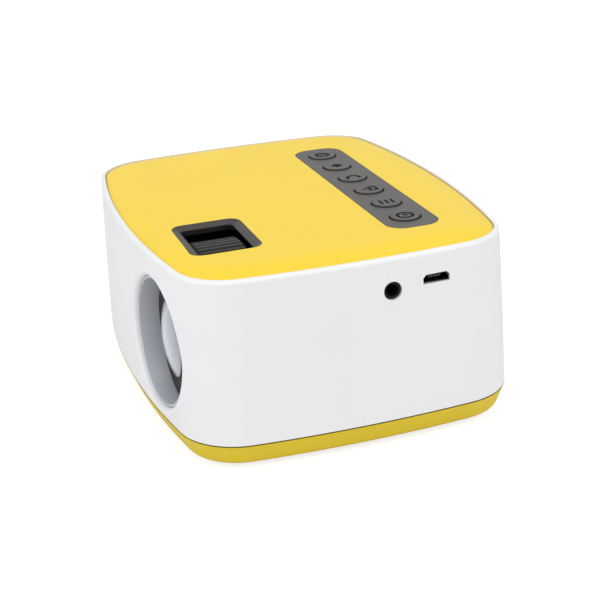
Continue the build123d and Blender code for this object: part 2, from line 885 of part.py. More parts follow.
def lens_barrel():
    mouth = front_glass_radius + element_clearance
    body = turned([(mouth, barrel_front_y), (barrel_radius - barrel_edge, barrel_front_y),
                   (barrel_radius, barrel_front_y + barrel_edge), (barrel_radius, barrel_back_y),
                   (barrel_bore, barrel_back_y), (barrel_bore, barrel_front_y + barrel_lip),
                   (mouth, barrel_front_y + barrel_lip)])
    for i in range(pin_count):
        hole = Rot(0, 0, 90 + i * 360 / pin_count) * Pos(0, 0, focus_ring_y) * Rot(0, 90, 0)
        body -= hole * rod(pin_radius, barrel_bore + 1, barrel_radius + 1)
    return along_y(body)


def drive_pins():
    pins = []
    for i in range(pin_count):
        place = Rot(0, 0, 90 + i * 360 / pin_count) * Pos(0, 0, focus_ring_y) * Rot(0, 90, 0)
        pins.append(along_y(place * rod(pin_radius, barrel_bore + 1, ring_bore + pin_reach)))
    return group(pins)


def dome_edges(radius, base, apex):
    """An arc from the axis to the rim, with its centre on the axis."""
    sag = abs(base - apex)
    sphere = (radius ** 2 + sag ** 2) / (2 * sag)
    drop = sphere - math.sqrt(sphere ** 2 - radius ** 2 / 4)
    middle = apex + math.copysign(drop, base - apex)
    return ThreePointArc((0, apex), (radius / 2, middle), (radius, base))


def lens_element(y0, edge, rim, dome, front_sag, back_sag):
    """A round glass with a flat rim from y0 to y0 + edge and domed or flat faces."""
    y1 = y0 + edge
    front_apex = y0 - front_sag
    back_apex = y1 + back_sag
    edges = [Line((rim, y0), (rim, y1)), Line((0, back_apex), (0, front_apex))]
    for y, apex in ((y0, front_apex), (y1, back_apex)):
        edges.append(Line((dome, y), (rim, y)))
        edges.append(Line((0, y), (dome, y)) if y == apex else dome_edges(dome, y, apex))
    return revolve(Plane.XZ * make_face(Wire(edges)), Axis.Z)


def front_glass():
    """The front element: its dome stands through the barrel's mouth."""
    neck = lens_element(barrel_front_y, barrel_lip + front_glass_gap, front_glass_radius,
                        front_glass_radius - element_clearance, front_glass_sag, 0)
    rim = rod(glass_radius, front_glass_seat_y, front_glass_seat_y + front_glass_edge)
    return along_y(neck + rim)


def inner_glass(y0, edge, sag):
    """A glass with two domed faces that rests between the spacers."""
    dome = glass_radius - spacer_wall - element_clearance
    return along_y(lens_element(y0, edge, glass_radius, dome, sag, sag))


def spacer(y0, y1):
    return along_y(tube(glass_radius, glass_radius - spacer_wall, y0, y1))


# Light engine

def mirror_line():
    """x + y is this much all along the mirror's bright face."""
    return lens_x + beam_y


def case_outline():
    """The engine box in plan, with its far corner cut parallel to the mirror."""
    back = mirror_line() + math.sqrt(2) * (mirror_thickness + case_wall + optic_clearance)
    points = [(case_start_x, case_front_y), (case_end_x, case_front_y),
              (case_end_x, back - case_end_x), (back - case_back_y, case_back_y),
              (case_start_x, case_back_y)]
    return make_face(Polyline(*points, close=True))


def optic_places():
    """Each flat optic's name, its middle in X and its thickness."""
    optics = (("heat_glass", heat_glass_share, glass_thickness),
              ("rear_fresnel", rear_fresnel_share, fresnel_thickness),
              ("lcd_panel", lcd_share, lcd_thickness),
              ("front_fresnel", front_fresnel_share, fresnel_thickness))
    return [(name, case_start_x + share * beam_length, depth) for name, share, depth in optics]


def condenser_holder():
    """A ring on a foot that carries the condenser lens in the engine box."""
    plane = condenser_x - condenser_rim
    front = plane - condenser_seat
    bore = condenser_radius + optic_clearance
    ring = tube(bore + condenser_lip, condenser_radius - condenser_lip, front, plane)
    ring += tube(bore + condenser_lip, bore, plane, condenser_x)
    foot = block(front, condenser_x, beam_y - condenser_foot_width / 2,
                 beam_y + condenser_foot_width / 2, case_bottom + case_wall,
                 lens_z - bore - condenser_lip / 2)
    return along_x(ring, beam_y, lens_z) + foot


def engine_case():
    shell = extrude(Pos(0, 0, case_bottom) * case_outline(), cover_z - case_bottom)
    cavity = offset(case_outline(), -case_wall, kind=Kind.INTERSECTION)
    body = shell - extrude(Pos(0, 0, case_bottom + case_wall) * cavity, 2 * case_half_size)
    body -= along_y(rod(holder_bore, case_front_y - 1, case_front_y + case_wall + 1))
    body -= along_x(rod(led_dome_radius + led_hole_margin, case_start_x - 1,
                        case_start_x + case_wall + 1), beam_y, lens_z)
    for _, x, thickness in optic_places():
        half = thickness / 2 + optic_clearance
        for side in (-1, 1):
            wall_y = beam_y + side * (case_half_size - case_wall)
            y0, y1 = sorted((wall_y, wall_y - side * slot_rib_depth))
            for face in (x - half - slot_rib, x + half):
                body += block(face, face + slot_rib, y0, y1, case_bottom + case_wall, cover_z)
    body += condenser_holder()
    hole = small_screw_radius + thread_grip
    for x, z in flange_screw_places():
        end = case_front_y + flange_boss_length
        body += along_y(rod(flange_boss_radius, case_front_y + 1, end, x, z))
        body -= along_y(rod(hole, case_front_y - 1, end - root_depth, x, z))
    for x, y in cover_screw_places():
        body += rod(cover_boss_radius, cover_z - cover_boss_length, cover_z, x, y)
        body -= rod(hole, cover_z - small_screw_length, cover_z + 1, x, y)
    return body


def cover_screw_places():
    """Four screws at the corners of the engine box, clear of the mirror."""
    inset = case_wall + cover_boss_inset
    front_y = case_front_y + inset
    back_y = case_back_y - inset
    start = case_start_x + inset
    return [(start, front_y), (start, back_y), (case_end_x - cover_boss_length, front_y),
            (lens_x - case_beyond_lens, back_y)]


def standoff_places():
    """Where the tray's four posts carry the engine box."""
    ends = (case_start_x + standoff_inset, lens_x - case_beyond_lens)
    return [(x, y) for x in ends
            for y in (case_front_y + standoff_inset, case_back_y - standoff_inset)]


def engine_cover():
    lid = extrude(Pos(0, 0, cover_z) * case_outline(), cover_thickness)
    for x, y in cover_screw_places():
        lid -= rod(small_screw_radius + screw_clearance, cover_z, case_top, x, y)
    return lid


def optic(x, thickness):
    """A flat optic that stands in its slots."""
    half = case_half_size - case_wall - optic_clearance
    return block(x - thickness / 2, x + thickness / 2, beam_y - half, beam_y + half,
                 case_bottom + case_wall, cover_z - optic_clearance)


def fold_mirror():
    height = cover_z - optic_clearance - case_bottom - case_wall
    plate = Pos(0, mirror_thickness / 2, 0) * Box(mirror_length, mirror_thickness, height)
    place = Pos(lens_x, beam_y, case_bottom + case_wall + height / 2)
    return place * Rot(0, 0, -45) * plate


def condenser_lens():
    glass = lens_element(condenser_x - condenser_rim, condenser_rim, condenser_radius,
                         condenser_radius - condenser_lip, 0, condenser_sag)
    return along_x(glass, beam_y, lens_z)


def led_module():
    half = led_board_size / 2
    board = block(sink_end_x, case_start_x, beam_y - half, beam_y + half, lens_z - half, lens_z + half)
    dome = lens_element(case_start_x - element_clearance, led_base_height, led_dome_radius,
                        led_dome_radius - element_clearance, 0, led_dome_height)
    return board + along_x(dome, beam_y, lens_z)


def fan_screw_places():
    """The fan's four screws, from its axis."""
    half = fan_screw_spacing / 2
    return [(a, b) for a in (-half, half) for b in (-half, half)]


def heatsink():
    half = sink_size / 2
    base = block(sink_end_x - sink_base, sink_end_x, beam_y - half, beam_y + half,
                 lens_z - half, lens_z + half)
    pitch = (sink_size - fin_thickness) / (fin_count - 1)
    start = sink_end_x - sink_depth
    for i in range(fin_count):
        y = beam_y - half + i * pitch
        base += block(start, sink_end_x - sink_base, y, y + fin_thickness,
                      lens_z - half, lens_z + half)
    for a, b in fan_screw_places():
        base += along_x(rod(sink_post_radius, start, sink_end_x, a, b), beam_y, lens_z)
        base -= along_x(rod(fan_screw_radius + thread_grip, start - 1, sink_end_x - sink_base, a, b),
                        beam_y, lens_z)
    return base


def fan_frame():
    frame = extrude(RectangleRounded(fan_size, fan_size, fan_corner), fan_depth)
    frame -= rod(fan_bore_radius, -1, fan_depth + 1)
    plate = fan_depth - fan_motor_plate
    frame += rod(fan_hub_radius, plate, fan_depth)
    frame += rod(fan_bearing_radius, fan_depth - fan_bearing_length, fan_depth)
    strut = block(fan_hub_radius - 1, fan_bore_radius + root_depth, -fan_strut_width / 2,
                  fan_strut_width / 2, plate, fan_depth)
    for i in range(3):
        frame += Rot(0, 0, 30 + 120 * i) * strut
    frame -= rod(fan_shaft_radius + fan_shaft_clearance, fan_depth - fan_bearing_length - 1,
                 fan_depth - fan_bearing_end)
    for a, b in fan_screw_places():
        frame -= rod(fan_screw_radius + screw_clearance, -1, fan_depth + 1, a, b)
    return along_x(Pos(0, 0, fan_x) * frame, beam_y, lens_z)


def fan_rotor():
    hub = rod(fan_hub_radius, fan_hub_start, fan_hub_depth)
    hub = fillet(hub.edges().group_by(Axis.Z)[0], fan_hub_round)
    cup = fan_hub_start + fan_hub_wall
    hub -= rod(fan_hub_radius - fan_hub_wall, cup, fan_hub_depth)
    rotor = hub + rod(fan_shaft_radius, fan_hub_start + fan_hub_wall / 2,
                      fan_depth - fan_bearing_end - screw_clearance)
    root = fan_hub_radius - fan_hub_wall / 2
    tip = fan_bore_radius - fan_tip_clearance
    low = fan_hub_start + screw_clearance
    chord = (fan_hub_depth - low) / math.sin(math.radians(fan_blade_pitch))
    mid = (low + fan_hub_depth) / 2
    blade_space = tube(tip, root - 1, low, fan_hub_depth)
    for i in range(fan_blade_count):
        sections = []
        for x, pitch in ((root, fan_blade_pitch), (tip, fan_blade_pitch - fan_blade_twist)):
            place = Plane(origin=(x, 0, mid), x_dir=(0, 1, 0), z_dir=(1, 0, 0))
            sections.append(place * Rot(0, 0, pitch) * Rectangle(chord, fan_blade_thickness))
        rotor += Rot(0, 0, i * 360 / fan_blade_count) * (loft(sections) & blade_space)
    return along_x(Pos(0, 0, fan_x) * rotor, beam_y, lens_z)


# Board and sockets

def main_board():
    main = block(board_x0, board_x1, board_front_y, board_y1, board_z, board_top)
    main = fillet(main.edges().filter_by(Axis.Z), board_corner)
    tab = block(board_tab_x0, board_tab_x1, board_y1 - 2 * board_corner, board_tab_y1,
                board_z, board_top)
    board = main + tab
    for x in board_screw_x:
        for y in board_screw_y:
            board -= rod(small_screw_radius + screw_clearance, board_z, board_top, x, y)
    for x, y in cover_screw_places():
        board -= rod(small_head_radius + screw_clearance, board_z, board_top, x, y)
    return board


def tact_switches():
    switches = []
    half = switch_size / 2
    for x in key_xs:
        body = block(x - half, x + half, strip_y - half, strip_y + half, board_top,
                     board_top + switch_height)
        button = rod(switch_button_radius, board_top + switch_height, switch_top, x, strip_y)
        switches.append(body + button)
    return group(switches)


def jack_body():
    """A sound jack drawn on Z: a box with a round nose, its mouth at z = 0, bored from there."""
    length = jack_bore_depth - jack_nose_length + jack_end_wall
    box = Pos(0, 0, -jack_nose_length - length / 2) * Box(2 * jack_half_height, jack_width, length)
    nose = rod(jack_nose_radius, -jack_nose_length - 1, 0)
    return box + nose - rod(jack_bore_radius, -jack_bore_depth, 1)


def audio_jack():
    mouth = side_face_x(jack_y, jack_z) - jack_recess
    return along_x(Pos(0, 0, mouth) * jack_body(), jack_y, jack_z)


def av_jack():
    mouth = -front_face_y(av_jack_x, jack_z) - jack_recess
    body = Pos(0, 0, mouth) * Rot(0, 0, 90) * jack_body()
    return along_y(body, av_jack_x, jack_z)


def micro_usb_socket():
    mouth = side_face_x(usb_y + usb_slot_width / 2, usb_slot_z) - usb_recess
    back = mouth - usb_depth
    shell = extrude(Plane.YZ.offset(back) * usb_outline(-usb_clearance), usb_depth)
    hollow = usb_outline(-usb_clearance - usb_shell)
    shell -= extrude(Plane.YZ.offset(back + usb_floor) * hollow, usb_depth)
    tongue = block(back, mouth - usb_tongue_recess, usb_y - usb_tongue_width / 2,
                   usb_y + usb_tongue_width / 2, usb_slot_z, usb_slot_z + usb_tongue_thickness)
    return shell + tongue


def rear_mouth(x):
    """The place in Y of a rear socket's mouth, behind the wall at the socket's outer side."""
    return -front_face_y(abs(x) + hdmi_width / 2, jack_z) - wall - socket_wall_gap


def rear_shell(outside, inside, x, depth):
    """A rear socket's metal shell, open at the back of the case."""
    y1 = rear_mouth(x)
    y0 = y1 - depth
    return toward_back(outside, y0, y1) - toward_back(inside, y0 + port_floor, y1 + 1)


def port_tongue(x, z, thickness, depth):
    """The flat tongue inside a rear socket, its underside at height z."""
    y1 = rear_mouth(x)
    return block(x - port_tongue_width / 2, x + port_tongue_width / 2, y1 - depth,
                 y1 - port_tongue_recess, z, z + thickness)


def hdmi_socket():
    shell = rear_shell(hdmi_outline(0.0), hdmi_outline(-port_shell), hdmi_x, hdmi_depth)
    z = board_z - hdmi_height / 2 - hdmi_tongue / 4
    return shell + port_tongue(hdmi_x, z, hdmi_tongue, hdmi_depth)


def host_usb_socket():
    shell = rear_shell(host_usb_outline(0.0), host_usb_outline(-port_shell), host_usb_x,
                       host_usb_depth)
    z = board_z - host_usb_height / 2
    return shell + port_tongue(host_usb_x, z, host_usb_tongue, host_usb_depth)


def receiver_window():
    window = toward_back(receiver_outline(-receiver_clearance), plan_depth / 2 - 3 * wall, plan_depth)
    skin = wall_solid(receiver_recess, housing_z, panel_seat_height)
    skin -= wall_solid(wall + socket_wall_gap, housing_z, panel_seat_height)
    return window & skin


# Feet, screws, bush and speaker

def foot_places():
    return [(sx * foot_x, sy * foot_y) for sx in (-1, 1) for sy in (-1, 1)]


def rubber_feet():
    feet = []
    for x, y in foot_places():
        foot = rod(foot_radius, 0, tray_z + foot_recess, x, y)
        feet.append(chamfer(foot.edges().group_by(Axis.Z)[0], foot_chamfer))
    return group(feet)


def case_screws():
    head_z = tray_z + screw_head_height + foot_recess
    one = screw(screw_radius, screw_head_radius, screw_head_height,
                post_top - blind_end - 1 - head_z)
    return group([Pos(x, y, head_z) * one for x, y in post_places()])


def board_screws():
    one = screw(small_screw_radius, small_head_radius, small_head_height,
                board_thickness + board_screw_grip)
    return group([Pos(x, y, board_z) * one for x in board_screw_x for y in board_screw_y])


def cover_screws():
    one = screw(small_screw_radius, small_head_radius, small_head_height, small_screw_length)
    one = Rot(180, 0, 0) * one
    return group([Pos(x, y, case_top) * one for x, y in cover_screw_places()])


def flange_screws():
    one = screw(small_screw_radius, small_head_radius, small_head_height, small_screw_length)
    seat = case_front_y - flange_thickness
    return group([along_y(Pos(x, z, seat) * one) for x, z in flange_screw_places()])


def fan_screws():
    one = screw(fan_screw_radius, screw_head_radius, fan_screw_head_height,
                fan_depth + fan_screw_grip)
    return group([along_x(Pos(a, b, fan_x) * one, beam_y, lens_z) for a, b in fan_screw_places()])


def tripod_bush():
    return tube(bush_radius, bush_bore_radius, tray_z, tray_z + bush_length, 0, bush_y)


def speaker():
    """A round speaker, face down: rim, basket and magnet, with a shallow cone."""
    top = floor_z + speaker_height
    shoulder = floor_z + speaker_height / 2
    rim = speaker_radius - speaker_rim
    frame = turned([(0, top), (speaker_magnet_radius, top),
                    (speaker_basket_radius, shoulder + speaker_cone_depth / 2),
                    (speaker_radius, shoulder), (speaker_radius, floor_z), (rim, floor_z),
                    (rim - speaker_clearance, floor_z + speaker_cone_depth),
                    (0, floor_z + 2 * speaker_cone_depth)])
    return Pos(speaker_x, speaker_y, 0) * frame


def build():
    nodes = {
        "main_housing": main_housing(),
        "bottom_tray": bottom_tray(),
        "top_panel": top_panel(),
        "focus_window_frame": focus_window_frame(),
        "keypad_strip": keypad_strip(),
        "lens_hood": lens_hood(),
        "focus_ring": focus_ring(),
        "lens_holder": lens_holder(),
        "ring_clip": ring_clip(),
        "lens_barrel": lens_barrel(),
        "drive_pins": drive_pins(),
        "front_glass": front_glass(),
        "engine_case": engine_case(),
        "engine_cover": engine_cover(),
        "fold_mirror": fold_mirror(),
        "condenser_lens": condenser_lens(),
        "led_module": led_module(),
        "heatsink": heatsink(),
        "fan_frame": fan_frame(),
        "fan_rotor": fan_rotor(),
        "main_board": main_board(),
        "tact_switches": tact_switches(),
        "audio_jack": audio_jack(),
        "av_jack": av_jack(),
        "micro_usb_socket": micro_usb_socket(),
        "hdmi_socket": hdmi_socket(),
        "host_usb_socket": host_usb_socket(),
        "receiver_window": receiver_window(),
        "rubber_feet": rubber_feet(),
        "case_screws": case_screws(),
        "board_screws": board_screws(),
        "cover_screws": cover_screws(),
        "flange_screws": flange_screws(),
        "fan_screws": fan_screws(),
        "tripod_bush": tripod_bush(),
        "speaker": speaker(),
    }
    key_names = ("key_power", "key_menu", "key_source", "key_back", "key_plus", "key_minus")
    for name, x in zip(key_names, reversed(key_xs)):
        nodes[name] = key(x)
    for name, x, thickness in optic_places():
        nodes[name] = optic(x, thickness)
    nodes["middle_glass"] = inner_glass(middle_glass_y, middle_glass_edge, middle_glass_sag)
    nodes["rear_glass"] = inner_glass(rear_glass_y, rear_glass_edge, rear_glass_sag)
    nodes["front_spacer"] = spacer(front_glass_seat_y + front_glass_edge, middle_glass_y)
    nodes["rear_spacer"] = spacer(middle_glass_y + middle_glass_edge, rear_glass_y)
    retainer_y = rear_glass_y + rear_glass_edge
    nodes["lens_retainer"] = spacer(retainer_y, retainer_y + retainer_thickness)
    return nodes


os.makedirs("parts", exist_ok=True)
for node, shape in build().items():
    export_step(shape, f"parts/{node}.step")
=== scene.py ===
import math

import bmesh
import bpy
from mathutils import Matrix, Vector

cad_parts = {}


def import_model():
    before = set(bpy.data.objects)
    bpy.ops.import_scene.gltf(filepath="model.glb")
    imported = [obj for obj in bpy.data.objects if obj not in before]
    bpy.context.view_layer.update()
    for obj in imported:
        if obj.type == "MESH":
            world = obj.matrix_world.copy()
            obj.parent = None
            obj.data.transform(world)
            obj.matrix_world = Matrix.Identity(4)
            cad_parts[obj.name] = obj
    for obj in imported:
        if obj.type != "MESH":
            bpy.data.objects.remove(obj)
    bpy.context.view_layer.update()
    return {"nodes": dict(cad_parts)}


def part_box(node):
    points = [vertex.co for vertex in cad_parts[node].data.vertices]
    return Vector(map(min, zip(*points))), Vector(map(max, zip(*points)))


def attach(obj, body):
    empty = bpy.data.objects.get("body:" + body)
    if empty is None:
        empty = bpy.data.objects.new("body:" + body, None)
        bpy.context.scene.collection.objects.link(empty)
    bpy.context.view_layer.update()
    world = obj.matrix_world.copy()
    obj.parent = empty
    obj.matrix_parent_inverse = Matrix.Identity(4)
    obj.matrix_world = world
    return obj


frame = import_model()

# Looks of a small LED projector, in metres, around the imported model. The lens looks
# along -Y, the sound and power sockets are on the +X side.

# Camera, solved from the photograph: it stands at the +X side and looks a little down
CAMERA_BACK = Vector((0.8895, -0.2736, 0.3660))
CAMERA_RIGHT = Vector((0.3135, 0.9481, -0.0532))
CAMERA_UP = Vector((-0.3324, 0.1621, 0.9291))
CAMERA_AIM = Vector((0.0, 0.0, 0.0317))
CAMERA_DISTANCE = 0.4303
CAMERA_SHIFT_RIGHT = 0.00376
CAMERA_SHIFT_UP = -0.00981
CAMERA_LENS = 82.04
CAMERA_SENSOR = 36.0
CAMERA_CLIP = 0.01

# Soft boxes: name, place, size and power. Each looks at the object's middle
SOFT_BOXES = (
    ("key_light", (0.25, 0.15, 0.95), 0.9, 4.5),
    ("side_light", (0.9, 0.5, 0.45), 0.7, 2.6),
    ("front_light", (0.15, -0.95, 0.4), 0.7, 3.8),
)

# World and floor. The shadow share is how much of the lit floor the camera sees; the rest
# is an even glow
WORLD_LIGHT = 0.55
BACKDROP_WHITE = 1.0
FLOOR_SHADOW_SHARE = 0.6
FLOOR_GLOW = 1.85
FLOOR_WHITE = (0.82, 0.82, 0.82)
FLOOR_DRIFT_SCALE = 3.0
FLOOR_ROUGHNESS = (0.85, 0.95)
FLOOR_SIZE = 6.0
FLOOR_CELLS = 8

# Colours, linear
WHITE_SHELL = (0.76, 0.765, 0.78)
YELLOW_TOP = (0.835, 0.588, 0.014)
YELLOW_TRAY = (0.68, 0.505, 0.006)
KEYPAD_GREY = (0.075, 0.071, 0.0655)
TRIM_GREY = (0.026, 0.024, 0.0215)
FUNNEL_GREY = (0.485, 0.505, 0.555)
MATT_BLACK = (0.012, 0.012, 0.012)
RING_BLACK = (0.0085, 0.0083, 0.008)
PRINT_BLACK = (0.004, 0.004, 0.004)
SOCKET_BLACK = (0.005, 0.005, 0.005)
DARK_NICKEL = (0.060, 0.060, 0.062)
STEEL = (0.56, 0.56, 0.55)
ALUMINIUM = (0.72, 0.72, 0.73)
MIRROR_SILVER = (0.9, 0.9, 0.92)
BRASS = (0.72, 0.52, 0.22)
BOARD_GREEN = (0.010, 0.085, 0.030)
RUBBER = (0.018, 0.018, 0.018)
LENS_TINT, LENS_COATING = (0.80, 0.83, 0.87), (0.62, 0.66, 0.74)
INNER_TINT, INNER_COATING = (0.86, 0.88, 0.92), (0.50, 0.56, 0.72)
FLAT_TINT, FLAT_COATING = (0.93, 0.95, 0.96), (0.7, 0.8, 0.9)

# Moulded stock: slow colour drift, surface grain, painted highlights along some edges and
# painted shade along others, and painted shade in crevices. The flat and sharp values are
# cosines between a face and its rounded normal, closed is how much light reaches a crevice
# that takes its full painted shade
DRIFT_SCALE, DRIFT_DETAIL = 38.0, 2.0
GRAIN_DETAIL, GRAIN_ROUGHNESS = 4.0, 0.6
GRAIN_STRENGTH = 0.6
GRAIN_GLOSSIER, GRAIN_DULLER = 0.04, 0.05
EDGE_SAMPLES = 4
EDGE_FLAT, EDGE_SHARP = 0.98, 0.75
PAINTED_EDGE_SHARE = 0.6
PAINTED_SHADE_SAMPLES = 8
PAINTED_SHADE_CLOSED = 0.15
COAT_ROUGHNESS = 0.12

# Brushed metal: the marks, their tones and gloss, their depth, and the ways they run
BRUSH_SCALE = 2600.0
BRUSH_DARK, BRUSH_PALE = 0.86, 1.08
BRUSH_GLOSSIER, BRUSH_DULLER = 0.08, 0.1
BRUSH_STRENGTH, BRUSH_DEPTH = 0.4, 0.000008
LONG_X, LONG_Z = (0.05, 1.0, 1.0), (1.0, 1.0, 0.05)
SHORT_Z = (1.0, 1.0, 0.2)
EVEN = (1.0, 1.0, 1.0)

# Glass: its dust, its coating, and the share of the haze that is left seen straight on
GLASS_IOR = 1.5
GLASS_CLEAN, GLASS_DUSTY = 0.03, 0.08
DUST_SCALE, DUST_DETAIL, DUST_ROUGHNESS = 420.0, 5.0, 0.65
DUST_START, DUST_STOP = 0.45, 0.75
COATING_BLEND = 0.35
COATING_WEIGHT, COATING_ROUGHNESS = 0.3, 0.05
HAZE_STRAIGHT_SHARE = 0.08

# Circuit board: the tracks, their tones from the lacquer's own, and the lacquer's gloss
TRACK_SCALE, TRACK_GAP = 180.0, 0.03
TRACK_TONES = {"Color1": 1.0, "Color2": 1.25, "Mortar": 2.2}
LACQUER_GRAIN = 900.0
LACQUER_ROUGHNESS = (0.22, 0.34)

# Sockets of a colour Mix node, whose names its other kinds use too
MIX_FACTOR, MIX_FIRST, MIX_SECOND, MIX_RESULT = 0, 6, 7, 2

# Faces that meet at more degrees than this keep a sharp edge
SMOOTH_ANGLE = 28.0

# Black shield beside the focus wheel, under the top panel: a dark sheet that stands for the
# shade seen in the focus window
SHIELD_GAP = 0.0015
SHIELD_THICKNESS = 0.0012
SHIELD_DROP = 0.022
SHIELD_RISE = 0.00095
SHIELD_OVERRUN = 0.008

# Signs on the key tops: their size, their strokes, and the degrees of a ring's steps
ICON_LIFT = 0.00003
ICON_SIZE = 0.00225
ICON_STROKE = 0.00095
ICON_FINE = ICON_STROKE * 0.8
ICON_BROAD = ICON_STROKE * 1.6
ICON_RING_STEP = 12

# Blackened edge of the front glass, on its dome
LENS_DOME_RADIUS = 0.01152
LENS_EDGE_WIDTH = 0.0006
LENS_EDGE_LIFT = 0.00004
LENS_EDGE_THICKNESS = 0.00003
LENS_EDGE_STEPS = 4
RING_STEPS = 96

# Tongues inside the sockets. The axis is the one that the mouth looks along, the height is
# above the socket's bottom, the recess is from the mouth and the tip is the black part
TONGUES = (
    dict(node="micro_usb_socket", axis=0, width=0.0038, height=0.0013, thickness=0.0007,
         recess=0.001, tip=0.0006, count=5),
    dict(node="hdmi_socket", axis=1, width=0.011, height=0.0024, thickness=0.0012,
         recess=0.0015, tip=0.008, count=9),
    dict(node="host_usb_socket", axis=1, width=0.011, height=0.0029, thickness=0.0018,
         recess=0.0015, tip=0.009, count=4),
)
TONGUE_SKIN = 0.00003
TONGUE_SOFTEN = 0.02
CONTACT_WIDTH_SHARE = 0.42
CONTACT_HEIGHT_SHARE = 0.3
CONTACT_PROUD = 0.00006


# Material helpers

class Nodes:
    """The nodes of a material or a world, with short ways to add and join them."""

    def __init__(self, owner):
        owner.use_nodes = True
        self.tree = owner.node_tree
        self.tree.nodes.clear()

    def add(self, kind, **values):
        """A new node. A value's name is an attribute of it, or an input with _ for a space."""
        node = self.tree.nodes.new(kind)
        for key, value in values.items():
            if hasattr(node, key):
                setattr(node, key, value)
            else:
                node.inputs[key.replace("_", " ")].default_value = value
        return node

    def join(self, source, node, key):
        """Link an output to a node's input."""
        self.tree.links.new(source, node.inputs[key])


def new_material(name):
    """An empty material, its nodes and the output of its object coordinates."""
    made = bpy.data.materials.new(name)
    nodes = Nodes(made)
    return made, nodes, nodes.add("ShaderNodeTexCoord").outputs["Object"]


def close_material(made, nodes, shader, color, roughness, normal=None):
    """Join a shader to its colour, roughness and bump, and to the material's output."""
    nodes.join(color, shader, "Base Color")
    nodes.join(roughness, shader, "Roughness")
    if normal is not None:
        nodes.join(normal, shader, "Normal")
    nodes.join(shader.outputs["BSDF"], nodes.add("ShaderNodeOutputMaterial"), "Surface")
    return made


def shade(color, factor=1.0):
    """The colour times a factor, with alpha 1."""
    return tuple(min(1.0, channel * factor) for channel in color) + (1.0,)


def noise(nodes, place, scale, detail=3.0, roughness=0.5):
    """A 0 to 1 pattern."""
    node = nodes.add("ShaderNodeTexNoise", Scale=scale, Detail=detail, Roughness=roughness)
    nodes.join(place, node, "Vector")
    return node.outputs["Fac"]


def spread(nodes, source, low, high, start=0.3, stop=0.7):
    """Turn a pattern's values from start to stop into values from low to high."""
    node = nodes.add("ShaderNodeMapRange", From_Min=start, From_Max=stop, To_Min=low,
                     To_Max=high)
    nodes.join(source, node, "Value")
    return node.outputs["Result"]


def two_tone(nodes, factor, first, second):
    """Mix two colours by a 0 to 1 pattern. The first may be another node's output."""
    node = nodes.add("ShaderNodeMix", data_type="RGBA")
    nodes.join(factor, node, MIX_FACTOR)
    if isinstance(first, tuple):
        node.inputs[MIX_FIRST].default_value = first
    else:
        nodes.join(first, node, MIX_FIRST)
    node.inputs[MIX_SECOND].default_value = second
    return node.outputs[MIX_RESULT]


def bumps(nodes, height, strength, depth):
    """The normal of a surface with a pattern's relief."""
    node = nodes.add("ShaderNodeBump", Strength=strength, Distance=depth)
    nodes.join(height, node, "Height")
    return node.outputs["Normal"]


def painted_edge_mask(nodes, radius):
    """The share of an edge's painted tone, a highlight where the tone is light and shade where
    it is dark, on edges sharper than the radius, 0 on flats.
    """
    bevel = nodes.add("ShaderNodeBevel", samples=EDGE_SAMPLES, Radius=radius)
    geometry = nodes.add("ShaderNodeNewGeometry")
    cosine = nodes.add("ShaderNodeVectorMath", operation="DOT_PRODUCT")
    nodes.join(bevel.outputs["Normal"], cosine, 0)
    nodes.join(geometry.outputs["Normal"], cosine, 1)
    return spread(nodes, cosine.outputs["Value"], 0.0, PAINTED_EDGE_SHARE, EDGE_FLAT, EDGE_SHARP)


def painted_crevice_shade(nodes, distance, tone, unshaded_share):
    """The painted shade in narrow gaps, grooves and hollows where shade falls, 1 on faces as
    open as the share says.
    """
    hollow = nodes.add("ShaderNodeAmbientOcclusion", samples=PAINTED_SHADE_SAMPLES, Distance=distance)
    return spread(nodes, hollow.outputs["AO"], tone, 1.0, PAINTED_SHADE_CLOSED, unshaded_share)


def moulded(name, color, roughness=0.42, grain=1500.0, grain_depth=0.000012, tone=0.03,
            edge_radius=0.00025, painted_edge_tone=1.12, specular=0.5, coat=0.0, painted_shade_reach=0.0016,
            painted_shade_tone=0.12, unshaded_share=0.55):
    """Moulded stock: slight colour drift, a fine surface grain, a painted highlight along edges
    where the edge tone is above 1 and painted shade where it is below, and painted shade in
    crevices."""
    made, nodes, place = new_material(name)
    drift = spread(nodes, noise(nodes, place, DRIFT_SCALE, DRIFT_DETAIL), 0.0, 1.0)
    base = two_tone(nodes, drift, shade(color, 1.0 - tone), shade(color, 1.0 + tone))
    # Painted highlight along edges where the edge tone is above 1, painted shade along them
    # where it is below 1
    painted_edges = two_tone(nodes, painted_edge_mask(nodes, edge_radius), base, shade(color, painted_edge_tone))
    shaded = nodes.add("ShaderNodeVectorMath", operation="SCALE")
    nodes.join(painted_edges, shaded, 0)
    # Painted shade: the colour is darkened in crevices and gaps where shade falls
    nodes.join(painted_crevice_shade(nodes, painted_shade_reach, painted_shade_tone, unshaded_share), shaded, "Scale")
    fine = noise(nodes, place, grain, GRAIN_DETAIL, GRAIN_ROUGHNESS)
    rough = spread(nodes, fine, roughness - GRAIN_GLOSSIER, roughness + GRAIN_DULLER)
    shader = nodes.add("ShaderNodeBsdfPrincipled", Specular_IOR_Level=specular,
                       Coat_Weight=coat, Coat_Roughness=COAT_ROUGHNESS)
    return close_material(made, nodes, shader, shaded.outputs["Vector"], rough,
                          bumps(nodes, fine, GRAIN_STRENGTH, grain_depth))


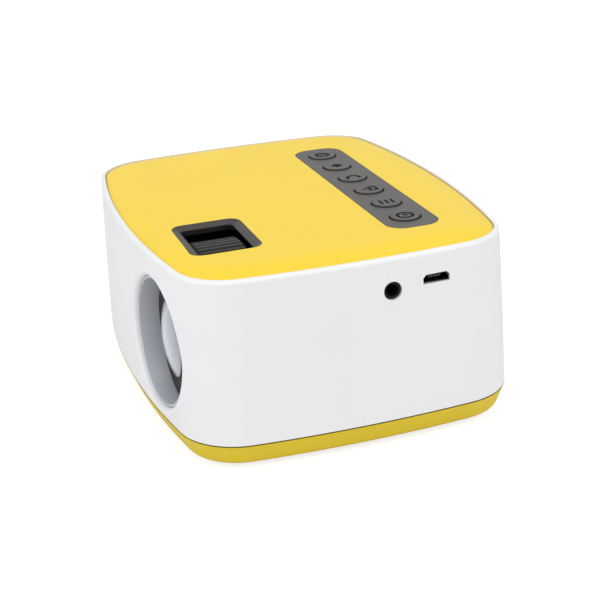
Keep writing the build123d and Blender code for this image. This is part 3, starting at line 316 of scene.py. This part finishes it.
def brushed(name, color, stretch, roughness=0.32):
    """Metal with fine parallel marks; stretch is small along the marks."""
    made, nodes, place = new_material(name)
    mapping = nodes.add("ShaderNodeMapping", Scale=stretch)
    nodes.join(place, mapping, "Vector")
    marks = noise(nodes, mapping.outputs["Vector"], BRUSH_SCALE, GRAIN_DETAIL,
                  GRAIN_ROUGHNESS)
    tones = spread(nodes, marks, 0.0, 1.0)
    base = two_tone(nodes, tones, shade(color, BRUSH_DARK), shade(color, BRUSH_PALE))
    rough = spread(nodes, marks, roughness - BRUSH_GLOSSIER, roughness + BRUSH_DULLER)
    shader = nodes.add("ShaderNodeBsdfPrincipled", Metallic=1.0)
    return close_material(made, nodes, shader, base, rough,
                          bumps(nodes, marks, BRUSH_STRENGTH, BRUSH_DEPTH))


def glass(name, tint, coating, haze=0.0):
    """Optical glass with a faint coating colour that shows at a slant, and a trace of dust.
    The haze is the share of light that its coating scatters where it is seen at a slant."""
    made, nodes, place = new_material(name)
    dust = noise(nodes, place, DUST_SCALE, DUST_DETAIL, DUST_ROUGHNESS)
    rough = spread(nodes, dust, GLASS_CLEAN, GLASS_DUSTY, DUST_START, DUST_STOP)
    slant = nodes.add("ShaderNodeLayerWeight", Blend=COATING_BLEND).outputs["Facing"]
    color = two_tone(nodes, slant, shade(tint), shade(coating))
    shader = nodes.add("ShaderNodeBsdfPrincipled", IOR=GLASS_IOR, Transmission_Weight=1.0,
                       Coat_Weight=COATING_WEIGHT, Coat_Roughness=COATING_ROUGHNESS)
    if haze > 0.0:
        clear = spread(nodes, slant, 1.0 - haze * HAZE_STRAIGHT_SHARE, 1.0 - haze, 0.0, 1.0)
        nodes.join(clear, shader, "Transmission Weight")
    return close_material(made, nodes, shader, color, rough)


def circuit_board(name):
    """Green lacquer over fine copper tracks."""
    made, nodes, place = new_material(name)
    tracks = nodes.add("ShaderNodeTexBrick", Scale=TRACK_SCALE, Mortar_Size=TRACK_GAP)
    for key, tone in TRACK_TONES.items():
        tracks.inputs[key].default_value = shade(BOARD_GREEN, tone)
    nodes.join(place, tracks, "Vector")
    rough = spread(nodes, noise(nodes, place, LACQUER_GRAIN), *LACQUER_ROUGHNESS)
    shader = nodes.add("ShaderNodeBsdfPrincipled")
    return close_material(made, nodes, shader, tracks.outputs["Color"], rough)


# Materials

# Edge tones above 1 paint a highlight along edges and below 1 paint shade there; the shade
# settings paint shade in gaps, round the keys and deep in the lens hood
white_shell = moulded("white_shell", WHITE_SHELL, roughness=0.46, tone=0.012,
                      painted_edge_tone=1.0, painted_shade_tone=0.97)
yellow_top = moulded("yellow_top", YELLOW_TOP, roughness=0.44, tone=0.015, painted_edge_tone=1.04,
                     painted_shade_tone=0.8)
yellow_tray = moulded("yellow_tray", YELLOW_TRAY, roughness=0.46, tone=0.02, painted_edge_tone=1.08)
keypad_grey = moulded("keypad_grey", KEYPAD_GREY, roughness=0.55, grain=2200.0,
                      grain_depth=0.00002, tone=0.05, edge_radius=0.001, painted_edge_tone=0.15,
                      painted_shade_reach=0.0022, unshaded_share=0.85)
trim_grey = moulded("trim_grey", TRIM_GREY, roughness=0.45, grain=2200.0, tone=0.05,
                    edge_radius=0.0007, painted_edge_tone=0.2, specular=0.4)
funnel_grey = moulded("funnel_grey", FUNNEL_GREY, roughness=0.40, tone=0.02, coat=0.1,
                      painted_shade_reach=0.01, painted_shade_tone=0.4, unshaded_share=0.95)
matt_black = moulded("matt_black", MATT_BLACK, roughness=0.6, tone=0.1, specular=0.2)
ring_black = moulded("ring_black", RING_BLACK, grain=1900.0, tone=0.08, painted_edge_tone=1.5,
                     specular=0.3)
print_black = moulded("print_black", PRINT_BLACK, roughness=0.6, tone=0.1, specular=0.05)
socket_black = moulded("socket_black", SOCKET_BLACK, roughness=0.6, tone=0.1,
                       painted_edge_tone=1.3, specular=0.2)
rubber = moulded("rubber", RUBBER, roughness=0.78, grain=1200.0, grain_depth=0.00003,
                 tone=0.12)
steel = brushed("steel", STEEL, LONG_X)
dark_nickel = brushed("dark_nickel", DARK_NICKEL, EVEN, roughness=0.3)
aluminium = brushed("aluminium", ALUMINIUM, LONG_Z, roughness=0.38)
brass = brushed("brass", BRASS, SHORT_Z, roughness=0.28)
lens_glass = glass("lens_glass", LENS_TINT, LENS_COATING, haze=0.83)
inner_glass = glass("inner_glass", INNER_TINT, INNER_COATING, haze=0.1)
flat_glass = glass("flat_glass", FLAT_TINT, FLAT_COATING)
mirror_glass = brushed("mirror_glass", MIRROR_SILVER, EVEN, roughness=0.1)
board_green = circuit_board("board_green")

FINISHES = {
    white_shell: ["main_housing"],
    yellow_top: ["top_panel"],
    yellow_tray: ["bottom_tray"],
    keypad_grey: ["keypad_strip", "key_power", "key_menu", "key_source", "key_back",
                  "key_plus", "key_minus"],
    trim_grey: ["focus_window_frame"],
    funnel_grey: ["lens_hood"],
    ring_black: ["focus_ring"],
    matt_black: ["lens_holder", "lens_barrel", "front_spacer", "rear_spacer",
                 "lens_retainer", "engine_case", "engine_cover", "fan_frame", "fan_rotor",
                 "receiver_window", "speaker"],
    socket_black: ["audio_jack", "av_jack"],
    dark_nickel: ["micro_usb_socket"],
    steel: ["ring_clip", "drive_pins", "tact_switches", "hdmi_socket", "host_usb_socket",
            "case_screws", "board_screws", "cover_screws", "flange_screws", "fan_screws"],
    aluminium: ["led_module", "heatsink"],
    brass: ["tripod_bush"],
    rubber: ["rubber_feet"],
    lens_glass: ["front_glass"],
    inner_glass: ["middle_glass", "rear_glass", "condenser_lens"],
    flat_glass: ["heat_glass", "rear_fresnel", "lcd_panel", "front_fresnel"],
    mirror_glass: ["fold_mirror"],
    board_green: ["main_board"],
}


def dress_nodes():
    """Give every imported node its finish, and smooth shading where its faces run on."""
    for finish, names in FINISHES.items():
        for name in names:
            mesh = frame["nodes"][name].data
            mesh.materials.clear()
            mesh.materials.append(finish)
            mesh.shade_smooth()
            mesh.set_sharp_from_angle(angle=math.radians(SMOOTH_ANGLE))


# Pieces

def link_mesh(name, mesh, finish):
    """Make an object of a mesh, with its finish."""
    data = bpy.data.meshes.new(name)
    mesh.to_mesh(data)
    mesh.free()
    data.materials.append(finish)
    made = bpy.data.objects.new(name, data)
    bpy.context.scene.collection.objects.link(made)
    return made


def place_piece(name, mesh, finish, body):
    """Make a piece of a mesh, with its finish and the body that it rides on."""
    piece = link_mesh(name, mesh, finish)
    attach(piece, body)


def boxes(name, corners, finish, body, soften=0.2):
    """Boxes with softened edges, each from a low corner to a high corner, as one piece.
    The softened edge is a share of each box's smallest side."""
    mesh = bmesh.new()
    for low, high in corners:
        size = Vector(high) - Vector(low)
        made = bmesh.ops.create_cube(mesh, size=1.0)["verts"]
        for vertex in made:
            vertex.co = Vector(low) + Vector([(vertex.co[i] + 0.5) * size[i] for i in range(3)])
        edges = list(dict.fromkeys(edge for vertex in made for edge in vertex.link_edges))
        bmesh.ops.bevel(mesh, geom=edges, offset=min(size) * soften, segments=2, affect="EDGES")
    place_piece(name, mesh, finish, body)


# Signs on the keys

def ring_strip(stroke, x, y, radius, start, stop):
    """Part of a ring from start to stop degrees, its middle and radius in icon sizes."""
    steps = int((stop - start) / ICON_RING_STEP)
    left, right = [], []
    for i in range(steps + 1):
        angle = math.radians(start + (stop - start) * i / steps)
        for points, half in ((left, -stroke / 2), (right, stroke / 2)):
            across = radius * ICON_SIZE + half
            points.append((x * ICON_SIZE + across * math.cos(angle),
                           y * ICON_SIZE + across * math.sin(angle)))
    return left, right


def bar_strip(stroke, *ends):
    """A straight bar between two points, given as x, y, x, y in icon sizes."""
    x0, y0, x1, y1 = (end * ICON_SIZE for end in ends)
    along = Vector((x1 - x0, y1 - y0)).normalized() * stroke / 2
    side = Vector((-along.y, along.x))
    return ([(x0 - side.x, y0 - side.y), (x1 - side.x, y1 - side.y)],
            [(x0 + side.x, y0 + side.y), (x1 + side.x, y1 + side.y)])


# Generic control signs round (0, 0). The second hand of the first one starts half a stroke
# before the middle, which fills the corner between the hands
SIGNS = {
    "key_power": [ring_strip(ICON_STROKE, 0, 0, 1, 0, 360),
                  bar_strip(ICON_FINE, 0, 0, 0, 0.6),
                  bar_strip(ICON_FINE, -ICON_FINE / 2 / ICON_SIZE, 0, 0.5, 0)],
    "key_menu": [bar_strip(ICON_FINE, x, -0.8, x, 0.8) for x in (-0.8, 0, 0.8)],
    "key_source": [bar_strip(ICON_FINE, -0.3, 0.8, 1, 0.8),
                   bar_strip(ICON_FINE, 1, 0.8, 1, -0.8),
                   bar_strip(ICON_FINE, 1, -0.8, -0.3, -0.8),
                   bar_strip(ICON_FINE, -1, 0, 0.4, 0),
                   bar_strip(ICON_FINE, 0, 0.4, 0.4, 0),
                   bar_strip(ICON_FINE, 0, -0.4, 0.4, 0)],
    "key_back": [ring_strip(ICON_STROKE, 0, -0.35, 0.85, 0, 180),
                 bar_strip(ICON_STROKE, -0.85, -0.35, -0.85, -0.75),
                 bar_strip(ICON_STROKE, 0.85, -0.35, 0.85, -0.75)],
    "key_plus": [bar_strip(ICON_BROAD, -0.75, 0, 0.75, 0),
                 bar_strip(ICON_BROAD, 0, -0.75, 0, 0.75)],
    "key_minus": [ring_strip(ICON_STROKE, 0, 0, 0.9, 0, 360),
                  bar_strip(ICON_STROKE, -0.45, 0, 0.45, 0)],
}


def icon_piece(name, strips, body, middle, top):
    """Thin printed shapes on a key: each strip is a list of left and right points.
    The signs are drawn upright and turned so that they read from the +X side."""
    mesh = bmesh.new()
    for strip in strips:
        low, high = ([mesh.verts.new((middle.x - v, middle.y + u, top + ICON_LIFT))
                      for u, v in points] for points in strip)
        for i in range(len(low) - 1):
            mesh.faces.new((low[i], low[i + 1], high[i + 1], high[i]))
    bmesh.ops.recalc_face_normals(mesh, faces=mesh.faces)
    bmesh.ops.solidify(mesh, geom=mesh.faces[:], thickness=ICON_LIFT)
    place_piece(name, mesh, print_black, body)


def key_icons():
    """Put each key's sign on its top."""
    for name, strips in SIGNS.items():
        low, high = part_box(name)
        icon_piece(name.replace("key", "icon"), strips, name, (low + high) / 2, high.z)


# Small pieces round the wheel, the sockets and the lens

def painted_shade_shield():
    """A black sheet under the top panel that stands for the shade seen in the focus window."""
    window_low, window_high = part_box("focus_window_frame")
    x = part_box("focus_ring")[0].x - SHIELD_GAP
    low = (x - SHIELD_THICKNESS, window_low.y, window_low.z - SHIELD_DROP)
    high = (x, window_high.y + SHIELD_OVERRUN, window_low.z + SHIELD_RISE)
    boxes("painted_shade_shield", [(low, high)], matt_black, "case")


def socket_tongue(node, axis, width, height, thickness, recess, tip, count):
    """The black tip of a socket's tongue and the ends of its contacts."""
    low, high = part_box(node)
    front = high[axis] - recess
    middle = (low[1 - axis] + high[1 - axis]) / 2
    bottom = low.z + height

    def corner(depth, side, z):
        return (depth, side, z) if axis == 0 else (side, depth, z)

    half = width / 2 + TONGUE_SKIN
    ends = (corner(front - tip, middle - half, bottom - TONGUE_SKIN),
            corner(front + TONGUE_SKIN, middle + half, bottom + thickness + TONGUE_SKIN))
    boxes(node + "_tongue", [ends], socket_black, "case", TONGUE_SOFTEN)
    pitch = width / count
    reach = pitch * CONTACT_WIDTH_SHARE / 2
    contacts = []
    for i in range(count):
        side = middle + (i - (count - 1) / 2) * pitch
        contacts.append((corner(front - tip, side - reach, bottom - CONTACT_PROUD),
                         corner(front + CONTACT_PROUD, side + reach,
                                bottom + thickness * CONTACT_HEIGHT_SHARE)))
    boxes(node + "_contacts", contacts, steel, "case")


def lens_edge():
    """A thin black band on the outer edge of the front glass. Its dome is part of a sphere
    that meets the barrel's front at the dome's radius."""
    glass_low, glass_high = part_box("front_glass")
    middle = (glass_low + glass_high) / 2
    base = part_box("lens_barrel")[0].y
    sag = base - glass_low.y
    sphere = (LENS_DOME_RADIUS ** 2 + sag ** 2) / (2 * sag)
    centre_y = glass_low.y + sphere
    inner = math.asin((LENS_DOME_RADIUS - LENS_EDGE_WIDTH) / sphere)
    outer = math.asin(LENS_DOME_RADIUS / sphere)
    slants = [inner + (outer - inner) * i / LENS_EDGE_STEPS for i in range(LENS_EDGE_STEPS + 1)]
    back = sphere + LENS_EDGE_LIFT
    front = back + LENS_EDGE_THICKNESS
    profile = [(slant, front) for slant in slants]
    profile += [(slant, back) for slant in reversed(slants)]
    mesh = bmesh.new()
    loops = []
    for slant, radius in profile:
        across = radius * math.sin(slant)
        y = centre_y - radius * math.cos(slant)
        loop = []
        for i in range(RING_STEPS):
            angle = 2 * math.pi * i / RING_STEPS
            loop.append(mesh.verts.new((middle.x + across * math.cos(angle), y,
                                        middle.z + across * math.sin(angle))))
        loops.append(loop)
    for loop, following in zip(loops, loops[1:] + loops[:1]):
        for i in range(RING_STEPS):
            j = (i + 1) % RING_STEPS
            mesh.faces.new((loop[i], loop[j], following[j], following[i]))
    bmesh.ops.recalc_face_normals(mesh, faces=mesh.faces)
    place_piece("lens_edge", mesh, matt_black, "lens_barrel")


# Studio

def backdrop():
    """A pale floor that keeps the object's shadow and is white to the camera elsewhere."""
    made, nodes, place = new_material("floor_white")
    diffuse = nodes.add("ShaderNodeBsdfPrincipled", Base_Color=shade(FLOOR_WHITE))
    rough = spread(nodes, noise(nodes, place, FLOOR_DRIFT_SCALE), *FLOOR_ROUGHNESS)
    nodes.join(rough, diffuse, "Roughness")
    glow = nodes.add("ShaderNodeEmission", Strength=FLOOR_GLOW)
    total = nodes.add("ShaderNodeMixShader", Fac=FLOOR_SHADOW_SHARE)
    nodes.join(glow.outputs["Emission"], total, 1)
    nodes.join(diffuse.outputs["BSDF"], total, 2)
    path = nodes.add("ShaderNodeLightPath")
    pick = nodes.add("ShaderNodeMixShader")
    nodes.join(path.outputs["Is Camera Ray"], pick, "Fac")
    nodes.join(diffuse.outputs["BSDF"], pick, 1)
    nodes.join(total.outputs["Shader"], pick, 2)
    nodes.join(pick.outputs["Shader"], nodes.add("ShaderNodeOutputMaterial"), "Surface")
    mesh = bmesh.new()
    bmesh.ops.create_grid(mesh, x_segments=FLOOR_CELLS, y_segments=FLOOR_CELLS,
                          size=FLOOR_SIZE / 2)
    floor = link_mesh("floor", mesh, made)


def world():
    """White to the camera, to glossy and to see-through rays; softer as a light."""
    made = bpy.data.worlds.new("studio")
    nodes = Nodes(made)
    path = nodes.add("ShaderNodeLightPath")
    seen = path.outputs["Is Camera Ray"]
    for ray in ("Is Glossy Ray", "Is Transmission Ray"):
        either = nodes.add("ShaderNodeMath", operation="MAXIMUM")
        nodes.join(seen, either, 0)
        nodes.join(path.outputs[ray], either, 1)
        seen = either.outputs["Value"]
    background = nodes.add("ShaderNodeBackground", Color=(1.0, 1.0, 1.0, 1.0))
    nodes.join(spread(nodes, seen, WORLD_LIGHT, BACKDROP_WHITE, 0.0, 1.0), background,
               "Strength")
    nodes.join(background.outputs["Background"], nodes.add("ShaderNodeOutputWorld"), "Surface")
    bpy.context.scene.world = made


def soft_boxes():
    """Square area lights that look at the object's middle."""
    for name, place, size, power in SOFT_BOXES:
        data = bpy.data.lights.new(name, "AREA")
        data.size = size
        data.energy = power
        lamp = bpy.data.objects.new(name, data)
        lamp.location = place
        lamp.rotation_mode = "QUATERNION"
        lamp.rotation_quaternion = (CAMERA_AIM - Vector(place)).to_track_quat("-Z", "Y")
        bpy.context.scene.collection.objects.link(lamp)


def camera():
    """The photograph's camera."""
    data = bpy.data.cameras.new("camera")
    data.lens = CAMERA_LENS
    data.sensor_width = CAMERA_SENSOR
    data.clip_start = CAMERA_CLIP
    made = bpy.data.objects.new("camera", data)
    bpy.context.scene.collection.objects.link(made)
    turn = Matrix((CAMERA_RIGHT, CAMERA_UP, CAMERA_BACK)).transposed()
    place = (CAMERA_AIM + CAMERA_BACK * CAMERA_DISTANCE + CAMERA_RIGHT * CAMERA_SHIFT_RIGHT
             + CAMERA_UP * CAMERA_SHIFT_UP)
    made.matrix_world = Matrix.Translation(place) @ turn.to_4x4()
    bpy.context.scene.camera = made


dress_nodes()
key_icons()
painted_shade_shield()
for tongue in TONGUES:
    socket_tongue(**tongue)
lens_edge()
backdrop()
world()
soft_boxes()
camera()
bpy.context.scene.view_settings.view_transform = "Standard"
